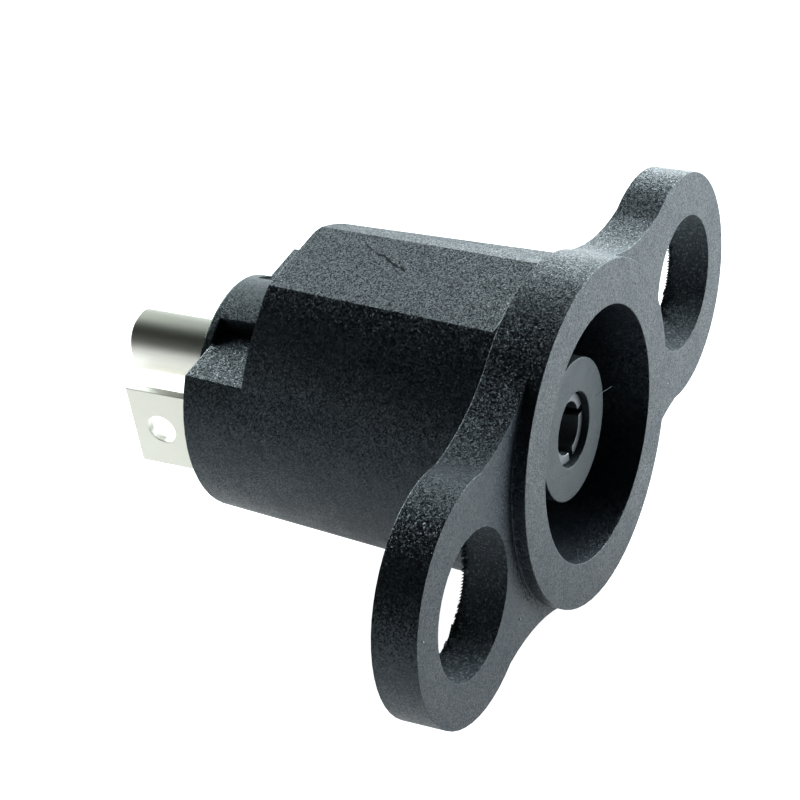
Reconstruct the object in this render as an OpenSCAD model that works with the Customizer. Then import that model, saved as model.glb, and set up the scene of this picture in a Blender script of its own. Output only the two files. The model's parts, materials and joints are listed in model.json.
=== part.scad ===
// Panel-mount DC power jack with two screw ears.
//
// Frame: the origin is on the jack's axis, in the face of the flange that
// seats on the panel. +X runs along the flange from screw hole to screw hole,
// the mouth faces -Y, the terminals point along +Y, and +Z is up, towards the
// flat-topped spring chamber. All lengths are millimetres.

/* [Flange] */
// Thickness of the flange and its two screw ears
flange_t = 1.0; // [0.8:0.1:2]
// Distance between the centres of the two screw holes
hole_pitch = 11.7; // [11.2:0.1:16]
// Diameter of each screw hole, a clearance hole for an M3 screw
hole_d = 3.2; // [2.2:0.1:3.6]
// Diameter of the round end of each ear
ear_d = 5.4; // [5:0.1:7]
// How far the centre of an ear's round end lies inboard of its screw hole
ear_inset = 0.2; // [0:0.05:0.4]
// Radius of the hollow flank between the round hub and an ear
flank_r = 4.5; // [3:0.1:6]
// Width of the raised collar's face, all round the mouth
collar_w = 1.0; // [1:0.1:1.6]
// Height of the collar above the front of the ears
collar_h = 0.3; // [0.1:0.05:1]

/* [Socket] */
// Diameter of the mouth that takes the plug's barrel
mouth_d = 5.7; // [5.2:0.1:6]
// Depth of the plug channel, from the collar's face to its floor
channel_depth = 6.1; // [4.5:0.1:6.2]
// Diameter of the insulating post in the middle of the mouth
post_d = 3.2; // [3:0.1:3.6]
// How far the post's face lies behind the collar's face
post_setback = 0.6; // [0.2:0.1:2]
// Diameter of the bore through the post, for the centre contact
post_bore_d = 1.7; // [1.5:0.05:1.8]

/* [Body] */
// Length of the round body behind the panel face
body_len = 7.3; // [6.9:0.1:10]
// How much wider than the mouth the body is at its rear end, all round
rear_wall = 0.25; // [0.2:0.05:0.6]
// Mould draft of the round body, in degrees
body_draft = 3.6; // [2.5:0.1:4]
// Height of the flat top of the spring chamber above the wall of the mouth
chamber_h = 0.77; // [0.6:0.01:0.78]
// How far the flat top sinks from its rear end to the flange
chamber_dip = 0.12; // [0:0.02:0.2]
// Length of the ramp that joins the lowest part of the flat top to the flange
ramp_len = 0.1; // [0.1:0.05:0.5]
// Width of the flat top at its rear end
chamber_w = 2.56; // [2.2:0.02:2.58]
// How much each edge of the flat top spreads towards the flange, in degrees
chamber_draft = 0.1; // [0.05:0.05:0.15]
// Radius of the chamber's bulging sides, seen along the axis
chamber_side_r = 4.2; // [3.8:0.1:8]
// Length of the chamber behind the panel face, along its flat top
chamber_len = 5.5; // [5.4:0.1:6]
// How much further back the chamber reaches at the ledge than along its top
chamber_lean = 0.3; // [0:0.05:0.6]
// Height of the ledge behind the chamber above the axis
ledge_z = 1.75; // [1.5:0.05:1.9]
// Radius of the worn rear corner of the chamber, on the side without a blade
corner_r = 0.4; // [0.1:0.05:0.6]
// Width of the sloping shoulder along the flat top, on the side without a blade
shoulder_w = 0.22; // [0.1:0.02:0.3]
// Slope of the shoulder, in degrees
shoulder_slope = 20; // [10:1:25]

/* [Insulating core] */
// Diameter of the core's rear flange, which seats on the body's rear end
core_d = 4.5; // [4.4:0.1:4.8]
// Thickness of that rear flange
core_flange_t = 0.2; // [0.1:0.05:0.6]
// Width of the key that rises from the core through a keyway in the ledge
key_w = 1.65; // [1.6:0.05:1.8]
// Thickness of the channel floor, between the channel and the contact's riser
floor_t = 0.4; // [0.3:0.05:0.45]
// Gap all round between the core and the housing
core_gap = 0.02; // [0.01:0.01:0.04]

/* [Contacts] */
// Thickness of the contact sheet
sheet_t = 0.2; // [0.15:0.05:0.25]
// Length of both solder terminals behind the body's rear end
terminal_len = 2.85; // [2:0.05:5]
// Outer diameter of the centre contact's tube
tube_d = 1.6; // [1.4:0.05:1.65]
// How far the tube starts behind the post's face
tube_setback = 0.15; // [0.05:0.05:1]
// Length of the slots that split the tube's front into spring fingers
finger_len = 2.5; // [1:0.1:4]
// Width of those slots
finger_gap = 0.2; // [0.1:0.05:0.3]
// Outer width of the gutter-shaped solder tail of the centre contact
tail_w = 1.3; // [1.1:0.05:1.4]
// Height of the centre of the tail's round top above the axis
tail_z = 0.5; // [0.3:0.05:0.6]
// Height above the axis of the two lower edges of the tail
tail_edge_z = 0.05; // [-0.1:0.05:0.2]
// How far the tail reaches into the core
tail_root = 1.2; // [0.6:0.1:1.8]
// Distance of the solder blade's middle plane from the axis
blade_x = 1.1; // [1.1:0.05:1.2]
// Height of the solder blade
blade_h = 2.1; // [1.6:0.1:2.2]
// Depth of the blade's upper edge below the axis
blade_top = 0.15; // [0:0.05:0.2]
// Diameter of the solder hole in the blade
solder_hole_d = 0.75; // [0.5:0.05:1]
// Distance of the solder hole's centre from the blade's end
solder_hole_inset = 0.75; // [0.6:0.05:1.2]
// Width of the spring leaf that presses on the plug's barrel, and of its riser
leaf_w = 1.4; // [1:0.1:1.5]
// Length of the spring leaf in front of the channel floor
leaf_len = 3.9; // [3:0.1:4.2]
// How far the leaf's bend dips below the wall of the mouth
leaf_dip = 0.15; // [0.05:0.05:0.3]
// Room left around each contact in its slot
slot_gap = 0.03; // [0.02:0.01:0.05]
// Plastic left round the riser's link, towards the post's bore and its outside
insulation = 0.15; // [0.1:0.05:0.2]
// Thickness of the roof over the spring leaf
roof_t = 0.35; // [0.25:0.05:0.4]

/* [Hidden] */
$fn = 96;
eps = 0.01;

ear_r = ear_d / 2;
hole_x = hole_pitch / 2;
ear_x = hole_x - ear_inset;
mouth_r = mouth_d / 2;
hub_r = mouth_r + collar_w;
chamber_top = mouth_r + chamber_h;
post_r = post_d / 2;
core_r = core_d / 2;
tube_r = tube_d / 2;
tail_r = tail_w / 2;

// Places along the axis, from the mouth to the solder terminals.
collar_y = -flange_t - collar_h;
post_y = collar_y + post_setback;
tube_y = post_y + tube_setback;
floor_y = collar_y + channel_depth;
riser_y = floor_y + floor_t;
key_y = riser_y + sheet_t;
core_end = body_len + core_flange_t;
tail_y = core_end - tail_root;
terminal_end = body_len + terminal_len;

// The round body tapers from the flange to its rear end.
body_rear_r = mouth_r + rear_wall;
function body_r(y) = body_rear_r + (body_len - y) * tan(body_draft);
function ledge_x(y) = sqrt(pow(body_r(y), 2) - pow(ledge_z, 2));

// Each side of the chamber is an arc from the ledge's edge to the flat top.
chamber_root = chamber_len + chamber_lean;
function arc_centre(a, b, r) =
    let (half = (b - a) / 2, back = sqrt(r * r - half * half))
    a + half + back / norm(half) * [-half[1], half[0]];
function top_x(y) = chamber_w / 2 + (chamber_len - y) * tan(chamber_draft);
function side_centre(y) =
    arc_centre([ledge_x(y), ledge_z], [top_x(y), chamber_top], chamber_side_r);

// Each flank of the flange is an arc that leaves the hub almost smoothly and
// ends on the top of the ear's round end. It runs a little into the hub, so
// that the two arcs cross and don't only touch.
flank_centre =
    let (ear_top = [ear_x, ear_r],
         far = norm(ear_top),
         reach = hub_r + flank_r - 2 * eps,
         along = (reach * reach - flank_r * flank_r + far * far) / (2 * far),
         across = sqrt(reach * reach - along * along))
    (along * ear_top + across * [-ear_r, ear_x]) / far;
web_z = hub_r * flank_centre[1] / norm(flank_centre);

// The spring leaf lies in a groove between the wall of the mouth and the roof.
groove_top = chamber_top - roof_t;
leaf_top = groove_top - slot_gap;
leaf_y = floor_y - leaf_len;
groove_y = leaf_y - 3 * slot_gap;
blade_low = -blade_top - blade_h;
link_in = post_bore_d / 2 + insulation;
link_out = post_r - insulation;

// Extrudes a section drawn in X and Z along Y, from y0 to y1.
module along_y(y0, y1) {
    translate([0, y1, 0]) rotate([90, 0, 0]) linear_extrude(y1 - y0) children();
}

// Extrudes a profile drawn in Y and Z along X, from x0 to x1.
module along_x(x0, x1) {
    translate([x0, 0, 0]) rotate([90, 0, 90]) linear_extrude(x1 - x0) children();
}

// A round bar or bore on the axis, from y0 to y1.
module round_y(y0, y1, r0, r1) {
    translate([0, y0, 0]) rotate([-90, 0, 0])
        cylinder(h = y1 - y0, r1 = r0, r2 = is_undef(r1) ? r0 : r1);
}

// A rectangle between two opposite corners.
module rect(a, b) {
    translate(a) square(b - a);
}

// A round bar from point p to point q.
module bar(p, q, r) {
    d = q - p;
    translate(p) rotate([0, acos(d[2] / norm(d)), atan2(d[1], d[0])])
        cylinder(h = norm(d), r = r);
}

module both_sides() {
    children();
    mirror([1, 0, 0]) children();
}

// ---- Housing: flange, collar, round body and spring chamber in one moulding

module flange_outline() {
    circle(r = hub_r);
    both_sides() {
        translate([ear_x, 0]) circle(r = ear_r);
        difference() {
            rect([0, -web_z], [ear_x, web_z]);
            translate(flank_centre) circle(r = flank_r);
            mirror([0, 1]) translate(flank_centre) circle(r = flank_r);
        }
    }
}

// One bulging side, as the inside of a large bar that leans with the draft.
module chamber_side() {
    front = side_centre(-flange_t);
    rear = side_centre(body_len);
    bar([front[0], -flange_t, front[1]], [rear[0], body_len, rear[1]], chamber_side_r);
}

module chamber() {
    ramp_z = chamber_top - chamber_dip * (1 - ramp_len / chamber_len);
    intersection() {
        along_x(-hub_r, hub_r)
            polygon([[-flange_t / 2, 0],
                     [-flange_t / 2, chamber_top],
                     [0, chamber_top],
                     [ramp_len, ramp_z],
                     [chamber_len, chamber_top],
                     [chamber_root, ledge_z],
                     [chamber_root, 0]]);
        chamber_side();
        mirror([1, 0, 0]) chamber_side();
    }
}

// What the worn rear corner has lost. The round is full at the flat top and
// fades out towards the ledge, because its axis runs along the side's slope
// at the top.
module worn_corner() {
    side = side_centre(chamber_len);
    out = [top_x(chamber_len) - side[0], chamber_top - side[1]] / chamber_side_r;
    lean = atan(chamber_lean / (chamber_top - ledge_z));
    slope = atan2(-out[1], out[0]);
    big = 3 * corner_r;
    translate([top_x(chamber_len) - corner_r / out[0],
               chamber_len - corner_r / cos(lean),
               chamber_top])
        rotate([atan(tan(lean) * cos(slope)), slope, 0]) difference() {
            translate([0, 0, -hub_r]) cube([big, big, 2 * hub_r]);
            translate([0, 0, -hub_r - eps]) cylinder(h = 2 * hub_r + 2 * eps, r = corner_r);
        }
}

// What the shoulder takes off. It follows the flat top's dip and ramp.
module shoulder() {
    ramp_dip = chamber_dip * (1 - ramp_len / chamber_len);
    translate([top_x(chamber_len) - shoulder_w, 0, chamber_top])
        rotate([0, shoulder_slope, 0])
            along_x(0, mouth_r)
                polygon([[-flange_t, 0],
                         [0, 0],
                         [ramp_len, -ramp_dip],
                         [chamber_len, 0],
                         [body_len, 0],
                         [body_len, chamber_h],
                         [-flange_t, chamber_h]]);
}

module round_body() {
    start = -flange_t / 2;
    difference() {
        round_y(start, body_len, body_r(start), body_rear_r);
        translate([-hub_r, start - eps, ledge_z])
            cube([2 * hub_r, body_len - start + 2 * eps, hub_r]);
    }
}

// The groove for the spring leaf opens into the channel and, behind, into the
// keyway.
module leaf_groove() {
    half = leaf_w / 2 + slot_gap;
    difference() {
        translate([-half, groove_y, 0]) cube([2 * half, riser_y - groove_y + eps, groove_top]);
        round_y(floor_y, riser_y + 2 * eps, mouth_r);
    }
}

// The keyway, open behind, lets in the core with both contacts in it.
module keyway() {
    half = key_w / 2 + core_gap;
    translate([-half, riser_y, 0]) cube([2 * half, body_len - riser_y + eps, groove_top]);
}

module housing() {
    color([0.16, 0.17, 0.18]) difference() {
        union() {
            along_y(-flange_t, 0) flange_outline();
            round_y(collar_y, -flange_t / 2, hub_r);
            round_body();
            difference() {
                chamber();
                worn_corner();
                shoulder();
            }
        }
        both_sides() translate([hole_x, 0, 0])
            round_y(-flange_t - eps, eps, hole_d / 2);
        round_y(collar_y - eps, floor_y, mouth_r);
        round_y(floor_y - eps, body_len + eps, post_r + core_gap);
        leaf_groove();
        keyway();
        plate_room();
    }
}

// ---- Core: the insulating post, with a key and a rear flange

module core() {
    color([0.2, 0.21, 0.22]) difference() {
        union() {
            round_y(post_y, core_end, post_r);
            round_y(body_len, core_end, core_r);
            intersection() {
                round_y(key_y, core_end, core_r);
                translate([-key_w / 2, key_y, 0])
                    cube([key_w, core_end - key_y, 2 * core_r]);
            }
        }
        round_y(post_y - eps, core_end + eps, post_bore_d / 2);
        along_y(tail_y, core_end + eps) tail_section(tail_r + slot_gap, 0);
        plate_room();
    }
}

// ---- Centre contact: a split tube that ends in a gutter-shaped solder tail

// Round-topped section of the tail, filled down to the given height.
module tail_section(r, low) {
    translate([0, tail_z]) circle(r = r);
    rect([-r, low], [r, tail_z]);
}

module tail() {
    inner_r = tail_r - sheet_t;
    along_y(tail_y, terminal_end) difference() {
        intersection() {
            tail_section(tail_r, tail_edge_z);
            rect([-tail_r, tail_edge_z], [tail_r, tail_z + tail_r]);
        }
        translate([0, tail_z]) circle(r = inner_r);
        rect([-inner_r, tail_edge_z - eps], [inner_r, tail_z]);
    }
}

module tube() {
    slot_y = tube_y - eps;
    difference() {
        round_y(tube_y, body_len, tube_r);
        round_y(slot_y, body_len + eps, tube_r - sheet_t);
        for (turn = [0, 90])
            rotate([0, turn, 0]) translate([-tube_d, slot_y, -finger_gap / 2])
                cube([2 * tube_d, finger_len + eps, finger_gap]);
    }
}

module centre_contact() {
    color([0.8, 0.79, 0.74]) {
        tube();
        tail();
    }
}

// ---- Sleeve contact: solder blade, riser and spring leaf from one strip

// The riser in front of the key, and the link round the post's bore that leads
// from it to the blade. The section can be grown by a gap.
module link_section(gap = 0) {
    side = [gap, 0];
    rect([-leaf_w / 2, link_in] - side, [leaf_w / 2, leaf_top] + side);
    intersection() {
        difference() {
            circle(r = link_out + gap);
            circle(r = link_in - gap);
        }
        rect([-link_out - gap, -link_out / 2 - gap], [0, link_out + gap]);
    }
}

module blade_profile(gap = 0) {
    rect([riser_y, blade_low - gap], [terminal_end, gap - blade_top]);
}

// Room for the blade, the link and the riser, in the housing and in the core.
module plate_room() {
    reach = blade_x + sheet_t / 2 + slot_gap;
    along_x(-reach, 2 * slot_gap + sheet_t - reach) blade_profile(slot_gap);
    along_y(riser_y, key_y) link_section(slot_gap);
}

// A bent strip of the sheet's thickness under the given line of points.
module strip(line) {
    polygon(concat(line, [for (i = [len(line) - 1:-1:0]) line[i] - [0, sheet_t]]));
}

module leaf_profile() {
    dip_y = leaf_y + leaf_len / 4;
    dip_z = mouth_r - leaf_dip + sheet_t;
    strip([[leaf_y, leaf_top - sheet_t],
           [dip_y - 2 * sheet_t, dip_z + sheet_t / 4],
           [dip_y, dip_z],
           [dip_y + 2 * sheet_t, dip_z + sheet_t / 4],
           [floor_y - leaf_len / 4, leaf_top],
           [key_y, leaf_top]]);
}

module sleeve_contact() {
    color([0.82, 0.81, 0.76]) {
        along_x(-blade_x - sheet_t / 2, sheet_t / 2 - blade_x) difference() {
            blade_profile();
            translate([terminal_end - solder_hole_inset, blade_low + blade_h / 2])
                circle(d = solder_hole_d);
        }
        along_y(riser_y, key_y) link_section();
        along_x(-leaf_w / 2, leaf_w / 2) leaf_profile();
    }
}

housing();
core();
centre_contact();
sleeve_contact();
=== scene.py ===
# %% [markdown]
# # A panel-mount DC power jack
#
# The jack is four pieces: a black moulded housing with two screw ears, an
# insulating core with the centre post, and two tin-plated contacts that end in
# solder terminals. Their exact solids come with the frame, in metres, with the
# jack's axis along Y and the mouth facing -Y. This lesson gives them a camera,
# light, rounded edges, finishes and the small marks of moulding and handling.

# %% Load the solids
import json
import math
import bpy
import bmesh
from mathutils import Matrix, Vector

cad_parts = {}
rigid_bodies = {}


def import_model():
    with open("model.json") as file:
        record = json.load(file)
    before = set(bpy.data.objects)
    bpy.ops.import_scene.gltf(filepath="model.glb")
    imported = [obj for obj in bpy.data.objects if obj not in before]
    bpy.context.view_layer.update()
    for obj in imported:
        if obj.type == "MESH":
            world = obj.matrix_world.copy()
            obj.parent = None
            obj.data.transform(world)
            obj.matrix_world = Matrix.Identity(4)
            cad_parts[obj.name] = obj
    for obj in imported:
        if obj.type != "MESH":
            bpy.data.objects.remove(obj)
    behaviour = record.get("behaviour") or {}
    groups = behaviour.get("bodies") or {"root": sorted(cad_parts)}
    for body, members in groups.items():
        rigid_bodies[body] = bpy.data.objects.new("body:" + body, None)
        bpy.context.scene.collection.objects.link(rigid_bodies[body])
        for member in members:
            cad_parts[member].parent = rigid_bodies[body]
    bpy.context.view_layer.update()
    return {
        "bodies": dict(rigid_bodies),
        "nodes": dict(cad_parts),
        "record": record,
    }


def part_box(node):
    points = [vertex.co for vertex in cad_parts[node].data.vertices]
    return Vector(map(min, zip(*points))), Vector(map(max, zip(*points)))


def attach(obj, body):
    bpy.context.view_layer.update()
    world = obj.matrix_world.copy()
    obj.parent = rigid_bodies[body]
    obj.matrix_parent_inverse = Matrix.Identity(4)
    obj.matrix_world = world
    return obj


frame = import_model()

MM = 0.001
nodes = frame["nodes"]
body = next(iter(frame["bodies"]))
for name in sorted(nodes):
    low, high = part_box(name)
    print(name, "spans", [round(v / MM, 2) for v in high - low], "mm")

# %% [markdown]
# ## Sizes that the details lean on
#
# Marks, flash and dust sit on faces of the solids, so their places are named
# once. The faces of mouth and post are read from the boxes of the solids, and
# the screw holes from the frame's own record. The ears' face and the flat top
# lie inside the boxes, so their places are typed in. All of them are
# millimetres until the moment a mesh is made.

# %% Name the sizes
house_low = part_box("housing")[0] / MM
MOUTH_FACE_Y = house_low.y
EAR_FACE_Y = -1.0
screws = next(m["dims"] for m in frame["record"]["mounts"] if m["name"] == "screw_holes")
EAR_HOLE_X = screws["spacing_x_mm"] / 2
EAR_HOLE_R = screws["hole_r_mm"]
POST_FACE_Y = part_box("core")[0].y / MM
# Y and Z of two points on the flat top
TOP_REAR = (5.5, 3.62)
TOP_FRONT = (0.25, 3.505)
print("mouth face at y", round(MOUTH_FACE_Y, 2), "post face at y", round(POST_FACE_Y, 2),
      "screw holes at x", round(EAR_HOLE_X, 2))

# %% [markdown]
# ## Camera
#
# A small part is looked at from close by with a long lens. The camera is
# placed from two angles, a distance and a roll about its own axis, because
# each of those numbers means something on a tripod.

# %% Place the camera
VIEW_AZIMUTH = math.radians(-57.90)
VIEW_ELEVATION = math.radians(35.955)
VIEW_ROLL = math.radians(-10.0)
VIEW_DISTANCE = 55.0
VIEW_AIM = Vector((-0.034, 3.522, -0.017))
LENS = 110.63
CLIP_START, CLIP_END = 1 * MM, 10


def put(thing):
    """Links a new object to the scene and returns it."""
    bpy.context.scene.collection.objects.link(thing)
    return thing


back = Vector((math.sin(VIEW_AZIMUTH) * math.cos(VIEW_ELEVATION),
               -math.cos(VIEW_AZIMUTH) * math.cos(VIEW_ELEVATION),
               math.sin(VIEW_ELEVATION)))
right = Vector((math.cos(VIEW_AZIMUTH), math.sin(VIEW_AZIMUTH), 0))
level = Matrix((right, back.cross(right), back)).transposed()
camera_data = bpy.data.cameras.new("camera")
camera_data.lens = LENS
camera_data.clip_start = CLIP_START
camera_data.clip_end = CLIP_END
camera = put(bpy.data.objects.new("camera", camera_data))
camera.matrix_world = (Matrix.Translation((VIEW_AIM + VIEW_DISTANCE * back) * MM)
                       @ (level @ Matrix.Rotation(VIEW_ROLL, 3, "Z")).to_4x4())
bpy.context.scene.camera = camera
print("camera at", [round(v, 2) for v in camera.location / MM], "mm")

# %% [markdown]
# ## Helpers for materials
#
# Paint and plastic colours are written as sRGB hex values, as a paint chart
# gives them, and one function turns them to the linear values that the shader
# wants. Another adds a node with its settings and links in one line.

# %% Colour and node helpers
def linear(hex_colour):
    """An sRGB hex colour such as "#404448" as linear red, green, blue, alpha."""
    parts = [int(hex_colour[i:i + 2], 16) / 255 for i in (1, 3, 5)]
    return [c / 12.92 if c <= 0.04045 else ((c + 0.055) / 1.055) ** 2.4 for c in parts] + [1]


def add(tree, kind, settings=None, **inputs):
    """Adds a node, sets its properties, and sets or links its inputs by name."""
    node = tree.nodes.new(kind)
    for key, value in (settings or {}).items():
        setattr(node, key, value)
    for key, value in inputs.items():
        name = key.replace("_", " ")
        socket = node.inputs[int(key[1:])] if key[1:].isdigit() else node.inputs[name]
        if isinstance(value, bpy.types.NodeSocket):
            tree.links.new(value, socket)
        else:
            socket.default_value = value
    return node


def new_material(name):
    """An empty node material and its tree."""
    material = bpy.data.materials.new(name)
    material.use_nodes = True
    material.node_tree.nodes.clear()
    return material, material.node_tree


# %% [markdown]
# ## Floor and light
#
# A white table and a row of soft lamps hung low on the right and behind, with
# weaker ones higher up and on the left. Low lamps graze the faces, so
# the grain of a black part shows, and the side towards the left stays dark,
# which shapes the part. The table is diffuse. It also glows to the camera, so
# that its white reaches paper white while the shadow stays, and in reflections
# it glows less on its left, where a dark studio would be seen. The lamps'
# strengths were balanced by a least-squares fit over trial renders with one
# lamp each. Faces that look forward or up get about the plain level of light,
# at which a colour renders as written. Faces that look back get half as much
# again, and faces that look right get about three times as much.

# %% Build the floor
FLOOR_SIZE = 600
GLOW_LEFT_FRONT, GLOW_LEFT_BACK, GLOW_RIGHT = 0.75, 0.54, 1.0
white, tree = new_material("white_table_paper")
path = add(tree, "ShaderNodeLightPath")
paper = add(tree, "ShaderNodeBsdfDiffuse", Color=linear("#e6e6e6"))
glow = add(tree, "ShaderNodeEmission", Color=(1, 1, 1, 1))
place = add(tree, "ShaderNodeSeparateXYZ",
            Vector=add(tree, "ShaderNodeTexCoord").outputs["Object"])
left = add(tree, "ShaderNodeMapRange", Value=place.outputs["Y"],
           From_Min=0.0, From_Max=4 * MM, To_Min=GLOW_LEFT_FRONT, To_Max=GLOW_LEFT_BACK)
fall = add(tree, "ShaderNodeMapRange", Value=place.outputs["X"],
           From_Min=-1 * MM, From_Max=1 * MM, To_Min=left.outputs[0], To_Max=GLOW_RIGHT)
mirrored = add(tree, "ShaderNodeMath", {"operation": "MULTIPLY"},
               _0=path.outputs["Is Glossy Ray"], _1=fall.outputs[0])
seen = add(tree, "ShaderNodeMath", {"operation": "MAXIMUM"},
           _0=path.outputs["Is Camera Ray"], _1=mirrored.outputs[0])
tree.links.new(seen.outputs[0], glow.inputs["Strength"])
both = add(tree, "ShaderNodeAddShader", _0=paper.outputs[0], _1=glow.outputs[0])
add(tree, "ShaderNodeOutputMaterial", Surface=both.outputs[0])

floor_mesh = bpy.data.meshes.new("table_top")
half = FLOOR_SIZE / 2 * MM
floor_z = house_low.z * MM
floor_mesh.from_pydata([(-half, -half, floor_z), (half, -half, floor_z),
                        (half, half, floor_z), (-half, half, floor_z)], [], [(0, 1, 2, 3)])
floor_mesh.materials.append(white)
floor = put(bpy.data.objects.new("table_top", floor_mesh))
print("floor at z", round(house_low.z, 2), "mm")

# %% Hang the lamps
LAMP_DISTANCE = 80
LAMP_SIZE = 30
LAMP_AIM = Vector((0, 2, 0))
LAMP_COLOUR = "#eefafc"
ROOM_LEVEL = 0.02
# Name, azimuth, elevation, radiance
LAMPS = [("front_right", 35, 12, 16.0),
         ("right", 62, 11, 25.0),
         ("right_back", 90, 12, 24.7),
         ("right_back_low", 120, 12, 1.8),
         ("right_back_high", 120, 24, 2.4),
         ("back", 155, 12, 25.0),
         ("back_high", 155, 24, 11.3),
         ("left_back_fill", -150, 20, 0.8)]


def softbox(name, azimuth, elevation, radiance):
    """Hangs a square lamp; azimuth turns from the mouth's side (-Y) towards +X."""
    turn, rise = math.radians(azimuth), math.radians(elevation)
    out = Vector((math.sin(turn) * math.cos(rise), -math.cos(turn) * math.cos(rise),
                  math.sin(rise)))
    data = bpy.data.lights.new(name, "AREA")
    data.size = LAMP_SIZE * MM
    data.energy = radiance * math.pi * data.size ** 2
    data.color = linear(LAMP_COLOUR)[:3]
    lamp = put(bpy.data.objects.new(name, data))
    lamp.location = (LAMP_AIM + LAMP_DISTANCE * out) * MM
    lamp.rotation_euler = out.to_track_quat("Z", "Y").to_euler()


for settings in LAMPS:
    softbox(*settings)

world = bpy.data.worlds.new("studio")
world.use_nodes = True
bpy.context.scene.world = world
tree = world.node_tree
tree.nodes.clear()
path = add(tree, "ShaderNodeLightPath")
strength = add(tree, "ShaderNodeMapRange", Value=path.outputs["Is Camera Ray"],
               To_Min=ROOM_LEVEL, To_Max=1.0)
air = add(tree, "ShaderNodeBackground", Color=(1, 1, 1, 1), Strength=strength.outputs[0])
add(tree, "ShaderNodeOutputWorld", Surface=air.outputs[0])
bpy.context.scene.view_settings.view_transform = "Standard"

# %% [markdown]
# ## Black moulded plastic
#
# The housing is a black thermoplastic from a mould whose walls were
# spark-eroded, which leaves a fine grain of tiny pits all over, like very fine
# sandpaper. Each pit is a facet with a tilt of its own, so under strong light
# single pits glint and the black turns into a soft grey. Voronoi cells give
# the facets, a cloudy noise spreads the roughness, and the Bevel node rounds
# the edges, as every mould edge is slightly round. The walls of the screw
# holes are torn where the core pins were pulled out, so there a coarser noise
# adds relief and pale specks, which are partly scuffs and partly painted glints.

# %% Mix the black plastic
GRAIN_MM = 0.026
CLOUD_MM = 0.6
SHADE_SPREAD = 0.6
ROUGH_SPREAD = 0.05
TORN_MM = 0.06
TORN_DEPTH_MM = 0.03
# Pale specks in the screw holes: partly scuffs, partly painted glints.
SCUFF_GLINT_FROM, SCUFF_GLINT_TO, SCUFF_GLINT_FULL = 0.52, 0.62, 0.8
SCUFF_AND_GLINT_COLOUR = "#8d9498"
HOLE_MARGIN_MM = 0.01


def moulded_plastic(name, dark, pale, edge_mm, rough, tilt, hole=None):
    """Spark-eroded plastic: two colours, edge radius, roughness, facet tilt.

    hole gives the place along X and the radius of two bores whose walls are torn.
    """
    material, tree = new_material(name)
    place = add(tree, "ShaderNodeTexCoord").outputs["Object"]
    cloud = add(tree, "ShaderNodeTexNoise", Vector=place, Scale=1 / (CLOUD_MM * MM),
                Detail=4.0)
    pits = add(tree, "ShaderNodeTexVoronoi", Vector=place, Scale=1 / (GRAIN_MM * MM))
    facet = add(tree, "ShaderNodeSeparateColor", Color=pits.outputs["Color"])
    shade = add(tree, "ShaderNodeMath", {"operation": "MULTIPLY_ADD"},
                _0=facet.outputs["Blue"], _1=SHADE_SPREAD, _2=-SHADE_SPREAD / 2)
    shade = add(tree, "ShaderNodeMath", {"operation": "ADD"},
                _0=shade.outputs[0], _1=cloud.outputs["Fac"])
    colour = add(tree, "ShaderNodeMixRGB", Fac=shade.outputs[0],
                 Color1=linear(dark), Color2=linear(pale))
    edge = add(tree, "ShaderNodeBevel", {"samples": 6}, Radius=edge_mm * MM)
    lean = add(tree, "ShaderNodeVectorMath", {"operation": "SUBTRACT"},
               _0=pits.outputs["Color"], _1=(0.5, 0.5, 0.5))
    lean = add(tree, "ShaderNodeVectorMath", {"operation": "SCALE"},
               _0=lean.outputs[0], Scale=tilt)
    lean = add(tree, "ShaderNodeVectorMath", {"operation": "ADD"},
               _0=lean.outputs[0], _1=edge.outputs[0])
    normal = add(tree, "ShaderNodeVectorMath", {"operation": "NORMALIZE"}, _0=lean.outputs[0])
    if hole:
        axes = add(tree, "ShaderNodeSeparateXYZ", Vector=place)
        across = add(tree, "ShaderNodeMath", {"operation": "ABSOLUTE"}, _0=axes.outputs["X"])
        across = add(tree, "ShaderNodeMath", {"operation": "SUBTRACT"},
                     _0=across.outputs[0], _1=hole[0] * MM)
        from_axis = add(tree, "ShaderNodeCombineXYZ", X=across.outputs[0], Z=axes.outputs["Z"])
        reach = add(tree, "ShaderNodeVectorMath", {"operation": "LENGTH"},
                    _0=from_axis.outputs[0])
        inside = add(tree, "ShaderNodeMath", {"operation": "LESS_THAN"},
                     _0=reach.outputs["Value"], _1=(hole[1] + HOLE_MARGIN_MM) * MM)
        torn = add(tree, "ShaderNodeTexNoise", Vector=place, Scale=1 / (TORN_MM * MM),
                   Detail=5.0, Roughness=0.8)
        # pale specks on the torn walls: partly scuffs, partly painted glints
        scuff_and_glint = add(tree, "ShaderNodeMapRange", Value=torn.outputs["Fac"],
                    From_Min=SCUFF_GLINT_FROM, From_Max=SCUFF_GLINT_TO, To_Max=SCUFF_GLINT_FULL)
        scuff_and_glint = add(tree, "ShaderNodeMath", {"operation": "MULTIPLY"},
                    _0=scuff_and_glint.outputs[0], _1=inside.outputs[0])
        colour = add(tree, "ShaderNodeMixRGB", Fac=scuff_and_glint.outputs[0],
                     Color1=colour.outputs[0], Color2=linear(SCUFF_AND_GLINT_COLOUR))
        normal = add(tree, "ShaderNodeBump", Strength=inside.outputs[0],
                     Distance=TORN_DEPTH_MM * MM, Height=torn.outputs["Fac"],
                     Normal=normal.outputs[0])
    roughness = add(tree, "ShaderNodeMapRange", Value=cloud.outputs["Fac"],
                    From_Min=0.3, From_Max=0.7,
                    To_Min=rough - ROUGH_SPREAD, To_Max=rough + ROUGH_SPREAD)
    shader = add(tree, "ShaderNodeBsdfPrincipled", Base_Color=colour.outputs[0],
                 Roughness=roughness.outputs[0], IOR=1.53, Normal=normal.outputs[0],
                 Specular_Tint=linear("#d8f0fa"))
    add(tree, "ShaderNodeOutputMaterial", Surface=shader.outputs[0])
    return material


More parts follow.
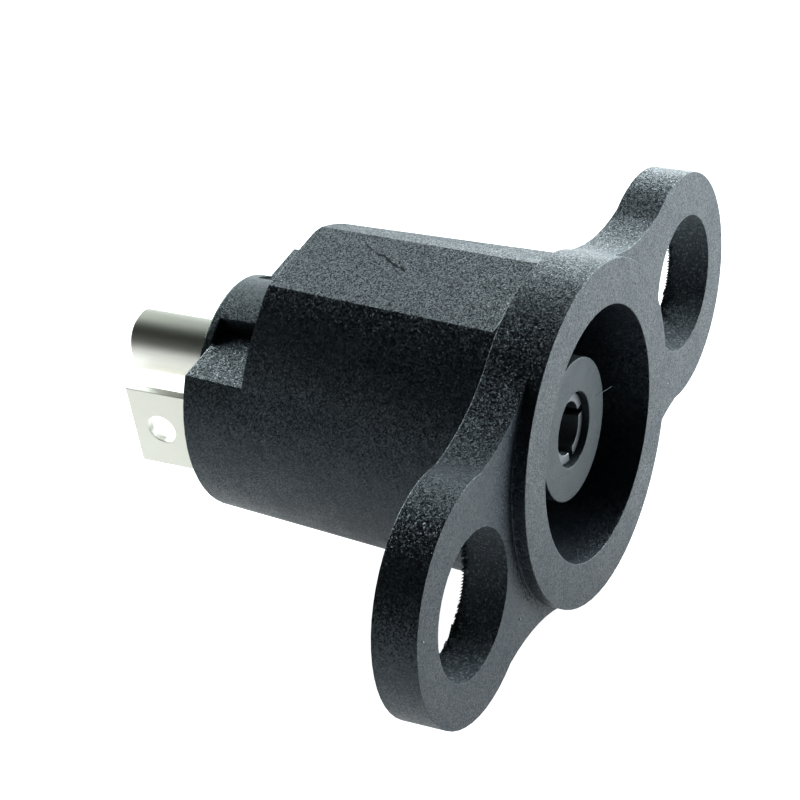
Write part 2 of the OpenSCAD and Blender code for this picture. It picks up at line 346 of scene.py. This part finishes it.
housing_plastic = moulded_plastic("spark_eroded_black_plastic", "#12141b", "#1b1e26",
                                  edge_mm=0.035, rough=0.47, tilt=0.52,
                                  hole=(EAR_HOLE_X, EAR_HOLE_R))
core_plastic = moulded_plastic("matt_black_core_plastic", "#16191d", "#202428",
                               edge_mm=0.05, rough=0.5, tilt=0.25)
print("plastics", housing_plastic.name, core_plastic.name)

# %% [markdown]
# ## Tin-plated brass
#
# Both contacts are stamped from brass sheet and plated with tin, which is a
# pale, slightly warm metal with a satin face. Faint drawing lines run along
# the strip. Painted shade darkens the rolled tail where it faces up, and
# painted shade makes the plated tube dull and dark inside the post, so two
# ramps along Z and Y take the colour from bright to dull.

# %% Plate the contacts
# Painted shade: the tail darker where it faces up, and the tube darker inside the post.
TOP_SHADE_Z_MM = (0.3, 1.0)
BORE_SHADE_Y_MM = (6.2, 6.8)
BORE_SHADE_COLOUR = "#6b6e72"
LINE_MM = 0.05
LINE_DEPTH_MM = 0.004
TIN_EDGE_MM = 0.04
TIN_ROUGHNESS = (0.42, 0.54)


def tin_plate(name, bright, shaded_top):
    """Satin tin over brass, bright low down, with painted shade above and inside the post."""
    material, tree = new_material(name)
    place = add(tree, "ShaderNodeTexCoord").outputs["Object"]
    stretch = add(tree, "ShaderNodeMapping", Vector=place, Scale=(1, 0.08, 1))
    lines = add(tree, "ShaderNodeTexNoise", Vector=stretch.outputs[0],
                Scale=1 / (LINE_MM * MM), Detail=1.0)
    axes = add(tree, "ShaderNodeSeparateXYZ", Vector=place)
    # painted shade, darker higher up on the tail
    up = add(tree, "ShaderNodeMapRange", Value=axes.outputs["Z"],
             From_Min=TOP_SHADE_Z_MM[0] * MM, From_Max=TOP_SHADE_Z_MM[1] * MM)
    colour = add(tree, "ShaderNodeMixRGB", Fac=up.outputs[0],
                 Color1=linear(bright), Color2=linear(shaded_top))
    # painted shade: the tube dull and dark inside the post
    outside = add(tree, "ShaderNodeMapRange", Value=axes.outputs["Y"],
                  From_Min=BORE_SHADE_Y_MM[0] * MM, From_Max=BORE_SHADE_Y_MM[1] * MM)
    colour = add(tree, "ShaderNodeMixRGB", Fac=outside.outputs[0],
                 Color1=linear(BORE_SHADE_COLOUR), Color2=colour.outputs[0])
    edge = add(tree, "ShaderNodeBevel", {"samples": 6}, Radius=TIN_EDGE_MM * MM)
    bump = add(tree, "ShaderNodeBump", Strength=0.10, Distance=LINE_DEPTH_MM * MM,
               Height=lines.outputs["Fac"], Normal=edge.outputs[0])
    roughness = add(tree, "ShaderNodeMapRange", Value=lines.outputs["Fac"],
                    To_Min=TIN_ROUGHNESS[0], To_Max=TIN_ROUGHNESS[1])
    shader = add(tree, "ShaderNodeBsdfPrincipled", Base_Color=colour.outputs[0],
                 Metallic=1.0, Roughness=roughness.outputs[0], Normal=bump.outputs[0])
    add(tree, "ShaderNodeOutputMaterial", Surface=shader.outputs[0])
    return material


tail_tin = tin_plate("tin_on_brass_with_painted_shade", "#fbf9f1", "#8c8b81")
blade_tin = tin_plate("tin_plated_brass", "#dedcd2", "#dedcd2")
print("metals", tail_tin.name, blade_tin.name)

# %% [markdown]
# ## Dressing the solids
#
# Each solid takes its one finish. A Weld modifier joins the corners that its
# triangles share, so that the Bevel node sees one closed skin and rounds only
# the real edges.

# %% Dress the solids
WELD_MM = 0.0005
FINISH = {"housing": housing_plastic, "core": core_plastic,
          "centre_contact": tail_tin, "sleeve_contact": blade_tin}
for name, material in FINISH.items():
    data = nodes[name].data
    data.materials.clear()
    data.materials.append(material)
    weld = nodes[name].modifiers.new("join_triangles", "WELD")
    weld.merge_threshold = WELD_MM * MM
    print(name, "wears", material.name)

# %% [markdown]
# ## Flash in the screw holes
#
# Where the two halves of a mould meet, plastic creeps into the gap and tears
# when the part is pushed out. The rims of the holes at the panel side keep a
# ragged fringe of it. Each hole's fringe is one flake instanced round a circle
# by Geometry Nodes, at random lengths from a fixed seed. Modelling each flake
# by hand would take long and show no more.

# %% A tree that sets flakes round a circle
def geometry_tree(name, inputs):
    """A Geometry Nodes tree with named inputs, given as {name: (kind, default)}."""
    tree = bpy.data.node_groups.new(name, "GeometryNodeTree")
    tree.is_modifier = True
    for way in ("INPUT", "OUTPUT"):
        tree.interface.new_socket("Geometry", in_out=way, socket_type="NodeSocketGeometry")
    for key, (kind, value) in inputs.items():
        item = tree.interface.new_socket(key, in_out="INPUT",
                                         socket_type="NodeSocket" + kind)
        if value is not None:
            item.default_value = value
    return tree, add(tree, "NodeGroupInput")


def set_input(modifier, tree, name, value):
    """Sets a modifier's input by the identifier of the socket with that name."""
    for item in tree.interface.items_tree:
        if item.name == name and item.in_out == "INPUT":
            modifier[item.identifier] = value


SMALLEST_FLAKE = 0.15
SIZE_BIAS = 1.6
FLAKE_THINNESS = 0.3
fringe, given = geometry_tree("flash_fringe", {
    "Radius": ("Float", 1.0), "Flakes": ("Int", 90), "Flake Length": ("Float", 0.05),
    "Flake Width": ("Float", 0.05), "Seed": ("Int", 1), "Plastic": ("Material", None)})
ring = add(fringe, "GeometryNodeMeshCircle", {"fill_type": "NONE"},
           Vertices=given.outputs["Flakes"], Radius=given.outputs["Radius"])
flake = add(fringe, "GeometryNodeMeshCone", {"fill_type": "TRIANGLE_FAN"}, Vertices=4,
            Radius_Top=0.0, Radius_Bottom=given.outputs["Flake Width"],
            Depth=given.outputs["Flake Length"])
outward = add(fringe, "GeometryNodeInputPosition")
inward = add(fringe, "ShaderNodeVectorMath", {"operation": "SCALE"}, _0=outward.outputs[0],
             Scale=-1.0)
turn = add(fringe, "FunctionNodeAlignRotationToVector", {"axis": "Z"},
           Vector=inward.outputs[0])
size = add(fringe, "FunctionNodeRandomValue", {"data_type": "FLOAT"},
           _2=SMALLEST_FLAKE, _3=1.0, Seed=given.outputs["Seed"])
grown = add(fringe, "ShaderNodeMath", {"operation": "POWER"},
            _0=size.outputs[1], _1=SIZE_BIAS)
stretch = add(fringe, "ShaderNodeCombineXYZ", X=1.0, Y=FLAKE_THINNESS,
              Z=grown.outputs[0])
spread = add(fringe, "GeometryNodeInstanceOnPoints", Points=ring.outputs["Mesh"],
             Instance=flake.outputs["Mesh"], Rotation=turn.outputs[0],
             Scale=stretch.outputs[0])
solid = add(fringe, "GeometryNodeRealizeInstances", Geometry=spread.outputs[0])
dressed = add(fringe, "GeometryNodeSetMaterial", Geometry=solid.outputs[0],
              Material=given.outputs["Plastic"])
add(fringe, "NodeGroupOutput", Geometry=dressed.outputs[0])
print("tree", fringe.name, "with", len(fringe.nodes), "nodes")


# %% Grow the fringes
def keep_mesh(tree, name, inputs, place=Matrix(), points=()):
    """Runs a tree on given points, moves the result, and keeps it as a plain mesh."""
    start = bpy.data.meshes.new(name + "_seed")
    start.from_pydata([Vector(point) * MM for point in points], [], [])
    seed = put(bpy.data.objects.new(name, start))
    modifier = seed.modifiers.new("grow", "NODES")
    modifier.node_group = tree
    for key, value in inputs.items():
        set_input(modifier, tree, key, value)
    ready = seed.evaluated_get(bpy.context.evaluated_depsgraph_get())
    mesh = bpy.data.meshes.new_from_object(ready)
    seed.modifiers.remove(modifier)
    mesh.transform(place)
    seed.data = mesh
    return seed


def hand_on(piece):
    """Lets a finished piece ride on the body and prints its face count."""
    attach(piece, body)
    print(piece.name, "has", len(piece.data.polygons), "faces")


FLASH_Y = -0.02
FLASH_SET_BACK = 0.005
FLAKES, FLAKE_LENGTH, FLAKE_WIDTH = 150, 0.17, 0.09
for side, name in ((-1, "flash_near_hole"), (1, "flash_far_hole")):
    place = (Matrix.Translation(Vector((side * EAR_HOLE_X, FLASH_Y, 0)) * MM)
             @ Matrix.Rotation(math.radians(90), 4, "X"))
    flash = keep_mesh(fringe, name, {
        "Radius": (EAR_HOLE_R + FLASH_SET_BACK) * MM, "Flakes": FLAKES,
        "Flake Length": FLAKE_LENGTH * MM, "Flake Width": FLAKE_WIDTH * MM,
        "Seed": 4 + side, "Plastic": housing_plastic}, place)
    hand_on(flash)

# %% [markdown]
# ## A crack in the flat top
#
# Cooling has opened a short, crooked crack in the skin of the flat top, and a
# hair crack runs on from its end. Each is a narrow ribbon that lies on the
# face and is darker than the plastic, because a real crack swallows light.
# Cutting them into the solid would take many faces for a mark that is a few
# hundredths of a millimetre wide.

# %% Draw the crack
RIBBON_LIFT = 0.003


def dust_and_crack_shade(name, dark, pale, patch_mm, ior):
    """A matt material that wanders between two colours, as dust does; the crack's ribbon uses
    it as painted shade.
    """
    material, tree = new_material(name)
    place = add(tree, "ShaderNodeTexCoord").outputs["Object"]
    fuzz = add(tree, "ShaderNodeTexNoise", Vector=place, Scale=1 / (patch_mm * MM),
               Detail=2.0)
    colour = add(tree, "ShaderNodeMixRGB", Fac=fuzz.outputs["Fac"],
                 Color1=linear(dark), Color2=linear(pale))
    shader = add(tree, "ShaderNodeBsdfPrincipled", Base_Color=colour.outputs[0],
                 Roughness=0.9, IOR=ior)
    add(tree, "ShaderNodeOutputMaterial", Surface=shader.outputs[0])
    return material


def on_top(x, y):
    """A point on the flat top, a little above its face, in metres."""
    slope = (TOP_REAR[1] - TOP_FRONT[1]) / (TOP_REAR[0] - TOP_FRONT[0])
    return Vector((x, y, TOP_FRONT[1] + (y - TOP_FRONT[0]) * slope + RIBBON_LIFT)) * MM


def ribbon(name, points, material):
    """A flat strip on the top through points given as X, Y and width."""
    mesh = bmesh.new()
    rails = []
    for i, (x, y, width) in enumerate(points):
        before, after = points[max(0, i - 1)], points[min(len(points) - 1, i + 1)]
        along = Vector((after[0] - before[0], after[1] - before[1])).normalized()
        off = Vector((-along.y, along.x)) * width / 2
        rails.append([mesh.verts.new(on_top(x + s * off.x, y + s * off.y))
                      for s in (-1, 1)])
    for (a, b), (c, d) in zip(rails, rails[1:]):
        mesh.faces.new((a, b, d, c))
    bmesh.ops.recalc_face_normals(mesh, faces=mesh.faces)
    if sum(f.normal.z for f in mesh.faces) < 0:
        bmesh.ops.reverse_faces(mesh, faces=mesh.faces)
    data = bpy.data.meshes.new(name)
    mesh.to_mesh(data)
    data.materials.append(material)
    return put(bpy.data.objects.new(name, data))


crack_dark = dust_and_crack_shade("shadowed_crack", "#0c0e10", "#2a3034", patch_mm=0.05, ior=1.2)
CRACK = [(0.50, 3.86, 0.010), (0.44, 3.74, 0.030), (0.40, 3.66, 0.070),
         (0.41, 3.56, 0.060), (0.33, 3.46, 0.035), (0.24, 3.36, 0.075),
         (0.20, 3.27, 0.045), (0.13, 3.16, 0.070), (0.07, 3.05, 0.040),
         (0.11, 2.99, 0.070), (0.03, 2.92, 0.080), (-0.02, 2.84, 0.020)]
HAIR = [(0.77, 4.22, 0.010), (0.69, 4.12, 0.025), (0.60, 4.00, 0.030),
        (0.55, 3.92, 0.020), (0.50, 3.86, 0.008)]
hand_on(ribbon("crack_in_top", CRACK, crack_dark))
hand_on(ribbon("hair_crack_in_top", HAIR, crack_dark))

# %% [markdown]
# ## Lint and a fibre
#
# A black part shows every speck. A few grains of pale lint lie on the flange
# and the ledge, and one textile fibre clings to the post. The grains are one
# rough lump instanced on a short list of places, each at its own size and
# turn. The fibre is a curve with a round section, turned into a mesh.

# %% Strew the lint
GRAIN_R_MM = 0.035
FULL_TURN = 6.28
SMALLEST_GRAIN, BIGGEST_GRAIN = (0.4, 0.4, 0.3), (1.2, 0.8, 0.6)
lint = dust_and_crack_shade("cotton_lint", "#8f979a", "#c3c9c9", patch_mm=0.02, ior=1.45)
strew, given = geometry_tree("strewn_lint", {
    "Grain Radius": ("Float", 0.03), "Seed": ("Int", 2), "Fibre": ("Material", None)})
lump = add(strew, "GeometryNodeMeshIcoSphere", Radius=given.outputs["Grain Radius"],
           Subdivisions=2)
angle = add(strew, "FunctionNodeRandomValue", {"data_type": "FLOAT_VECTOR"},
            _0=(0, 0, 0), _1=(FULL_TURN, FULL_TURN, FULL_TURN), Seed=given.outputs["Seed"])
bulk = add(strew, "FunctionNodeRandomValue", {"data_type": "FLOAT_VECTOR"},
           _0=SMALLEST_GRAIN, _1=BIGGEST_GRAIN, Seed=given.outputs["Seed"])
grains = add(strew, "GeometryNodeInstanceOnPoints", Points=given.outputs["Geometry"],
             Instance=lump.outputs["Mesh"], Rotation=angle.outputs[0], Scale=bulk.outputs[0])
solid = add(strew, "GeometryNodeRealizeInstances", Geometry=grains.outputs[0])
dressed = add(strew, "GeometryNodeSetMaterial", Geometry=solid.outputs[0],
              Material=given.outputs["Fibre"])
add(strew, "NodeGroupOutput", Geometry=dressed.outputs[0])

SPECKS = [(3.84, EAR_FACE_Y, -0.85), (4.42, EAR_FACE_Y, -1.88), (-7.94, EAR_FACE_Y, 0.84),
          (-3.27, EAR_FACE_Y, 0.73), (7.2, EAR_FACE_Y, -1.5), (-4.1, EAR_FACE_Y, -1.9),
          (-1.39, 7.25, 1.75), (1.1, 6.6, 1.75), (2.6, MOUTH_FACE_Y, 2.2)]
hand_on(keep_mesh(strew, "lint_grains",
                  {"Grain Radius": GRAIN_R_MM * MM, "Seed": 2, "Fibre": lint},
                  points=SPECKS))

# %% Lay the fibre
FIBRE_R_MM = 0.007
grey_fibre = dust_and_crack_shade("grey_textile_fibre", "#4a5053", "#6b7275", patch_mm=0.02, ior=1.45)
FIBRE = [(1.24, POST_FACE_Y - 0.012, 0.02), (1.40, POST_FACE_Y - 0.015, -0.07),
         (1.57, POST_FACE_Y - 0.03, -0.09), (1.76, POST_FACE_Y - 0.05, -0.17),
         (1.98, POST_FACE_Y - 0.04, -0.25)]
thread = bpy.data.curves.new("fibre_on_post", "CURVE")
thread.dimensions = "3D"
thread.bevel_depth = FIBRE_R_MM * MM
thread.bevel_resolution = 2
thread.use_fill_caps = True
line = thread.splines.new("NURBS")
line.points.add(len(FIBRE) - 1)
for point, spot in zip(line.points, FIBRE):
    point.co = [v * MM for v in spot] + [1]
line.use_endpoint_u = True
thread.materials.append(grey_fibre)
holder = put(bpy.data.objects.new("fibre_holder", thread))
ready = holder.evaluated_get(bpy.context.evaluated_depsgraph_get())
fibre = put(bpy.data.objects.new("fibre_on_post", bpy.data.meshes.new_from_object(ready)))
bpy.data.objects.remove(holder)
hand_on(fibre)
